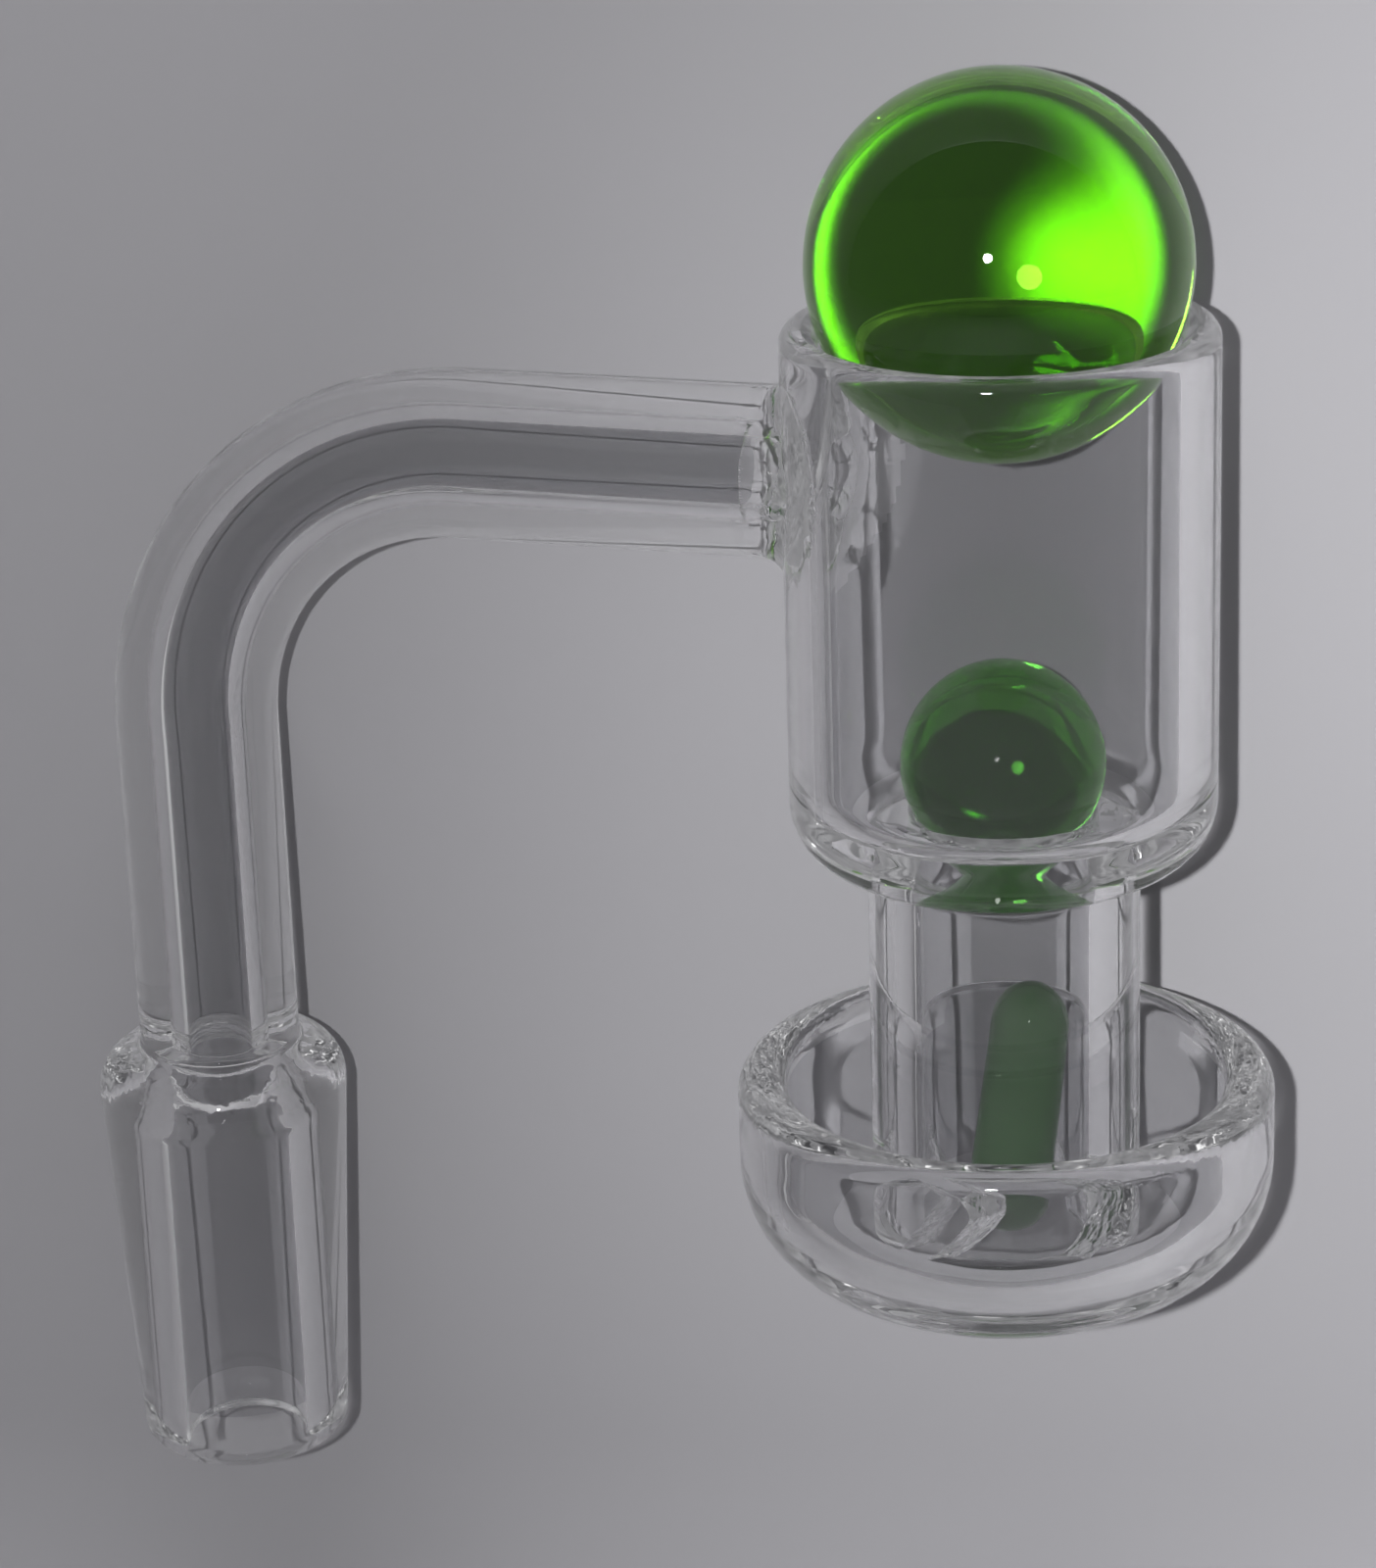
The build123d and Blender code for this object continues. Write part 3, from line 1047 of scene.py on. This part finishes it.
# uncoated paper: no gloss, a cool light grey
front = add(tree, "ShaderNodeBsdfDiffuse", {"Color": linear("B2B1B5")})
far_off = add(tree, "ShaderNodeEmission", {"Color": PALE})
here = add(tree, "ShaderNodeTexCoord").outputs["Object"]
foot = {0: here, 1: Vector((chamber_axis.x, 0, joint_base_z)) * MM}
away = add(tree, "ShaderNodeVectorMath", foot, operation="DISTANCE").outputs["Value"]
fade = {"Value": away, "From Min": fade_from * MM, "From Max": fade_to * MM}
fade = add(tree, "ShaderNodeMapRange", fade, interpolation_type="SMOOTHSTEP")
fade = add(tree, "ShaderNodeMath", {0: fade, 1: seen_share(tree)}, operation="MULTIPLY")
front = add(tree, "ShaderNodeMixShader", {0: fade, 1: front, 2: far_off})
behind = add(tree, "ShaderNodeBsdfTransparent")
from_behind = add(tree, "ShaderNodeNewGeometry").outputs["Backfacing"]
two_sides = add(tree, "ShaderNodeMixShader", {0: from_behind, 1: front, 2: behind})
add(tree, "ShaderNodeOutputMaterial", {"Surface": two_sides})
print("Made", paper.name)

# %% Where the sheet touches
gap = 0.1
reach = chamber_axis.x - joint_axis.x
across = (dish_r - high("ground_joint").x) / reach
lean_back = (dish_r - chamber_r) / (high("chamber").z - high("dish").z)
sheet_normal = Vector((across, -1.0, -lean_back)).normalized()
level_normal = Vector((across, -1.0, 0)).normalized()
rim_middle = Vector((chamber_axis.x, 0, high("dish").z - dish_wall / 2))
touch = rim_middle - level_normal * (dish_r + gap)
sheet_side = Vector((0, 0, 1)).cross(level_normal).normalized()
sheet_up = sheet_side.cross(sheet_normal).normalized()
sheet_up = sheet_up if sheet_up.z > 0 else -sheet_up
print("The sheet leans back", round(math.degrees(math.atan(lean_back)), 1), "degrees")

# %% Sheet of paper
sweep_r = 40.0
sweep_steps = 24
sheet_rise, sheet_reach, sheet_half_width = 420.0, 600.0, 700
sweep_start = joint_base_z - 5.0 - touch.z
profile = [(0.0, sheet_rise), (0.0, sweep_start)]
for i in range(1, sweep_steps + 1):
    angle = math.radians(90 * i / sweep_steps)
    profile.append((sweep_r * (1 - math.cos(angle)), sweep_start - sweep_r * math.sin(angle)))
profile.append((sheet_reach, sweep_start - sweep_r))
corners = []
for side in (-sheet_half_width, sheet_half_width):
    for forward_by, up_by in profile:
        corners.append((touch + sheet_side * side + sheet_normal * forward_by + sheet_up * up_by) * MM)
n = len(profile)
sheet = bpy.data.meshes.new("paper_sheet")
sheet.from_pydata(corners, [], [(i, i + 1, n + i + 1, n + i) for i in range(n - 1)])
sheet.shade_smooth()
if sheet.polygons[0].normal.dot(sheet_normal) < 0:
    sheet.flip_normals()
sheet.materials.append(paper)
backdrop = bpy.data.objects.new("paper_sheet", sheet)
bpy.context.scene.collection.objects.link(backdrop)
print("The sheet has", len(sheet.polygons), "strips")

# %% [markdown]
# The room gives a low even fill, which keeps the shadows from going black. What the eye sees of
# it is the same pale grey that the sheet passes into.

# %% Room
world = bpy.data.worlds.new("room")
bpy.context.scene.world = world
world.use_nodes = True
tree = world.node_tree
tree.nodes.clear()
fill = add(tree, "ShaderNodeBackground", {"Color": linear("FFFFFF"), "Strength": 0.06})
pale = add(tree, "ShaderNodeBackground", {"Color": PALE, "Strength": 1.0})
room = add(tree, "ShaderNodeMixShader", {0: seen_share(tree), 1: fill, 2: pale})
add(tree, "ShaderNodeOutputWorld", {"Surface": room})
print("Made the room")

# %% [markdown]
# The camera stands about 27 cm away, as a hand-held camera would for so small a thing. It looks
# down by 20 degrees and leans a little to one side. Its lens is long enough to keep the tubes
# straight.

# %% Camera
scene = bpy.context.scene
scene.view_settings.view_transform = "Standard"
camera = bpy.data.cameras.new("camera")
camera.lens = 105.12
camera.sensor_width = 36
camera.clip_start = 0.01
forward = Vector((-0.2931, 0.8907, -0.3474)).normalized()
right = forward.cross(Vector((-0.0767, 0.3403, 0.9372))).normalized()
up = right.cross(forward)
eye = Vector((111.79, -243.49, 127.23)) * MM
viewer = bpy.data.objects.new("camera", camera)
scene.collection.objects.link(viewer)
viewer.matrix_world = Matrix.Translation(eye) @ Matrix((right, up, -forward)).transposed().to_4x4()
scene.camera = viewer
print("The camera looks down", round(math.degrees(math.asin(-forward.z)), 1), "degrees")

# %% [markdown]
# One small lamp stands beside the camera, a little to the left, so that every edge throws a thin
# crisp shadow to its right. A second lamp at the same place is a wide spot with a soft edge, aimed
# past the object, so that the paper falls off gently to the far side. A large soft panel overhead
# lights the floor, and its light hardly reaches the upright sheet.
#
# A last disc beside the small lamp lights nothing. It is there only to be mirrored, as the bright
# point that a lamp leaves on every marble and in the thick corners.
#
# At full light white paper would render just white. Measured on the sheet, the light is about 0.7
# of that beside the object, 0.6 at its lower left and 1.0 at its right. So a colour renders as it
# is written at the right, and somewhat darker over most of the object.

# %% Lamps
aim = eye + forward * 265.8 * MM
distance = 290.0 * MM


def from_aim(left, above):
    """Direction from the object to a lamp, in degrees left of and above the line of sight."""
    slope = up * math.tan(math.radians(above)) - right * math.tan(math.radians(left))
    return (slope - forward).normalized()


def add_lamp(name, kind, position, towards, strength, shown=False):
    """A lamp that lights white paper at its target to a strength, and only matt things."""
    data = bpy.data.lights.new(name, kind)
    span = (position - towards).length
    data.energy = strength * math.pi**2 * span**2 * (1 if kind == "AREA" else 4)
    lamp = bpy.data.objects.new(name, data)
    scene.collection.objects.link(lamp)
    lamp.location = position
    lamp.rotation_euler = (towards - position).to_track_quat("-Z", "Y").to_euler()
    lamp.visible_camera = lamp.visible_glossy = lamp.visible_transmission = shown
    print("Lamp", name, "stands", round(span / MM), "mm away")
    return data


beside_camera = aim + from_aim(5.0, -0.4) * distance
key = add_lamp("key", "POINT", beside_camera, aim, 0.42)
key.shadow_soft_size = 2.5 * MM

spread_right, spread_down = 78.0, 10.0  # millimetres from the aim to where it points
spread_target = aim + (right * spread_right - up * spread_down) * MM
spread = add_lamp("key_spread", "SPOT", beside_camera, spread_target, 0.6)
spread.shadow_soft_size = key.shadow_soft_size
spread.spot_size = math.radians(42)
spread.spot_blend = 1.0

above = aim + Vector((0, -100, 400)) * MM
panel = add_lamp("panel", "AREA", above, above - Vector((0, 0, 420)) * MM, 0.5)
panel.shape = "DISK"
panel.size = 260 * MM

# %% Lamp to be mirrored
beside_key = aim + from_aim(6.5, 2.2) * (distance + 2 * MM)
glint = add_lamp("glint", "AREA", beside_key, aim, 1.0, shown=True)
glint.shape = "DISK"
glint.size = 26 * MM
glint_brightness = 150  # in times the brightness of white paper
glint.energy = glint_brightness * math.pi**2 * (glint.size / 2) ** 2
bpy.data.objects["glint"].visible_diffuse = False
